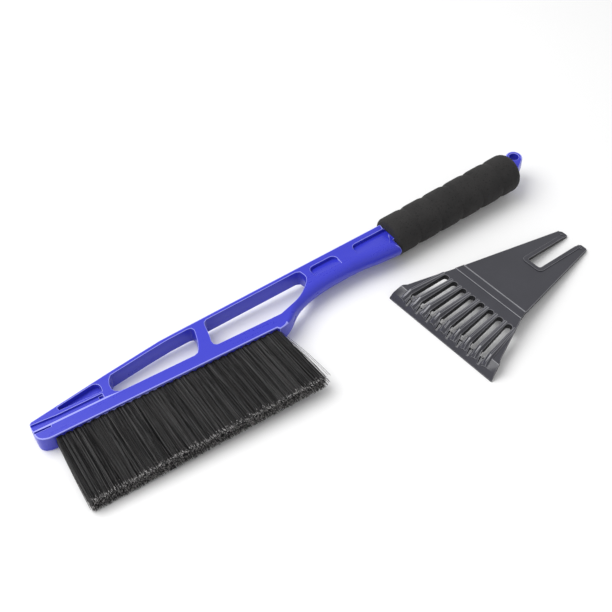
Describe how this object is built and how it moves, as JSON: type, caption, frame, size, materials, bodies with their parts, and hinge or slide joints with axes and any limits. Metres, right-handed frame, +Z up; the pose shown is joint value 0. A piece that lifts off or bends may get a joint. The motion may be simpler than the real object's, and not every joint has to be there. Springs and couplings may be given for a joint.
{
  "type": "snow brush scraper",
  "caption": "Snow brush with a windowed plastic body, a row of bristle tufts, a foam grip, a hanging loop and a detached forked ice scraper with claws.",
  "frame": {"origin": "on the table, under the middle of the box round everything", "axes": "+X along the bristle band from the brush's tip to its handle, +Y from the bristle ends towards the spine, +Z up from the table"},
  "size_m": [0.49, 0.1854, 0.0387],
  "materials": {
    "blue_plastic": "satin injection-moulded polypropylene, royal blue",
    "black_foam": "matt closed-cell foam rubber with fine pores",
    "black_plastic": "semi-gloss black polystyrene with faint moulding grain",
    "bristle_filament": "black synthetic filament, semi-matt, ends cut square",
    "anchor_wire": "zinc-plated flat wire"
  },
  "bodies": {
    "brush": {"brush_body": "blue_plastic", "foam_grip": "black_foam", "bristle_tuft_01": "bristle_filament", "bristle_tuft_02": "bristle_filament", "bristle_tuft_03": "bristle_filament", "bristle_tuft_04": "bristle_filament", "bristle_tuft_05": "bristle_filament", "bristle_tuft_06": "bristle_filament", "bristle_tuft_07": "bristle_filament", "bristle_tuft_08": "bristle_filament", "bristle_tuft_09": "bristle_filament", "bristle_tuft_10": "bristle_filament", "bristle_tuft_11": "bristle_filament", "bristle_tuft_12": "bristle_filament", "bristle_tuft_13": "bristle_filament", "bristle_tuft_14": "bristle_filament", "bristle_tuft_15": "bristle_filament", "bristle_tuft_16": "bristle_filament", "bristle_tuft_17": "bristle_filament", "bristle_tuft_18": "bristle_filament", "bristle_tuft_19": "bristle_filament", "bristle_tuft_20": "bristle_filament", "bristle_tuft_21": "bristle_filament", "bristle_tuft_22": "bristle_filament", "bristle_tuft_23": "bristle_filament", "bristle_tuft_24": "bristle_filament", "bristle_tuft_25": "bristle_filament", "bristle_tuft_26": "bristle_filament", "bristle_tuft_27": "bristle_filament", "bristle_tuft_28": "bristle_filament", "tuft_anchor_01": "anchor_wire", "tuft_anchor_02": "anchor_wire", "tuft_anchor_03": "anchor_wire", "tuft_anchor_04": "anchor_wire", "tuft_anchor_05": "anchor_wire", "tuft_anchor_06": "anchor_wire", "tuft_anchor_07": "anchor_wire", "tuft_anchor_08": "anchor_wire", "tuft_anchor_09": "anchor_wire", "tuft_anchor_10": "anchor_wire", "tuft_anchor_11": "anchor_wire", "tuft_anchor_12": "anchor_wire", "tuft_anchor_13": "anchor_wire", "tuft_anchor_14": "anchor_wire", "tuft_anchor_15": "anchor_wire", "tuft_anchor_16": "anchor_wire", "tuft_anchor_17": "anchor_wire", "tuft_anchor_18": "anchor_wire", "tuft_anchor_19": "anchor_wire", "tuft_anchor_20": "anchor_wire", "tuft_anchor_21": "anchor_wire", "tuft_anchor_22": "anchor_wire", "tuft_anchor_23": "anchor_wire", "tuft_anchor_24": "anchor_wire", "tuft_anchor_25": "anchor_wire", "tuft_anchor_26": "anchor_wire", "tuft_anchor_27": "anchor_wire", "tuft_anchor_28": "anchor_wire"},
    "scraper": {"scraper_head": "black_plastic"}
  },
  "joints": [
    {"name": "scraper_lift", "type": "slide", "parent": "brush", "child": "scraper", "axis": [0, 0, 1], "range_m": [0, 0.12]}
  ]
}
